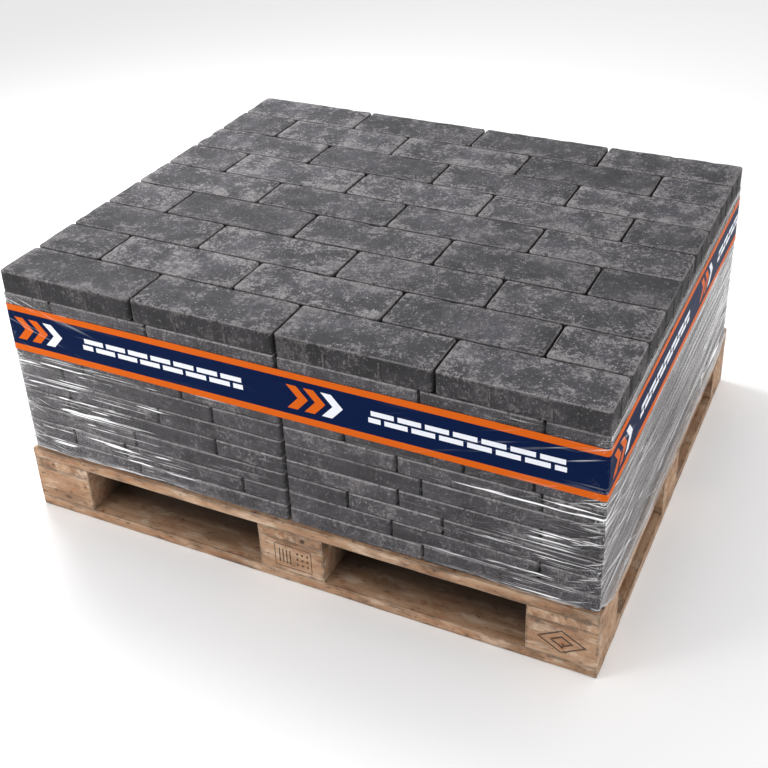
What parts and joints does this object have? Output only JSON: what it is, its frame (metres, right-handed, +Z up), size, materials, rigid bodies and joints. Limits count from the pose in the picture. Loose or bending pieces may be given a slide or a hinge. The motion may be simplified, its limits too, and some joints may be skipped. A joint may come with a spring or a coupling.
{
  "type": "pallet of bricks",
  "caption": "Wooden four-way pallet stacked with grey concrete paving bricks, wrapped in clear stretch film with a blue and orange printed band, top layer bare.",
  "frame": {"origin": "on the floor under the middle of the pallet", "axes": "+X along the 1200 mm front, left to right as seen from the front; +Y towards the back; +Z up"},
  "size_m": [1.2018, 1, 0.555],
  "materials": {
    "deck_wood": "rough sawn",
    "frame_wood": "rough sawn",
    "block_wood": "rough sawn",
    "concrete": "matt, cast, mottled grey",
    "hidden_concrete": "matt, cast",
    "film": "clear, glossy, stretched in streaks",
    "printed_film": "glossy, dark blue with orange edges"
  },
  "bodies": {
    "root": {"block_back_centre": "block_wood", "block_back_left": "block_wood", "block_back_right": "block_wood", "block_front_centre": "block_wood", "block_front_left": "block_wood", "block_front_right": "block_wood", "block_middle_centre": "block_wood", "block_middle_left": "block_wood", "block_middle_right": "block_wood", "bottom_board_back": "frame_wood", "bottom_board_centre": "frame_wood", "bottom_board_front": "frame_wood", "bottom_board_left": "frame_wood", "bottom_board_right": "frame_wood", "brick_core": "hidden_concrete", "brick_layer_01": "concrete", "brick_layer_02": "concrete", "brick_layer_03": "concrete", "brick_layer_04": "concrete", "brick_layer_05": "concrete", "brick_layer_06": "concrete", "brick_layer_07": "concrete", "brick_layer_08": "concrete", "brick_layer_09": "concrete", "brick_layer_10": "concrete", "brick_layer_top": "concrete", "deck_board_1": "deck_wood", "deck_board_2": "deck_wood", "deck_board_3": "deck_wood", "deck_board_4": "deck_wood", "deck_board_5": "deck_wood", "deck_board_6": "deck_wood", "deck_board_7": "deck_wood", "printed_band": "printed_film", "stretch_film": "film", "stringer_board_centre": "frame_wood", "stringer_board_left": "frame_wood", "stringer_board_right": "frame_wood"}
  },
  "joints": []
}
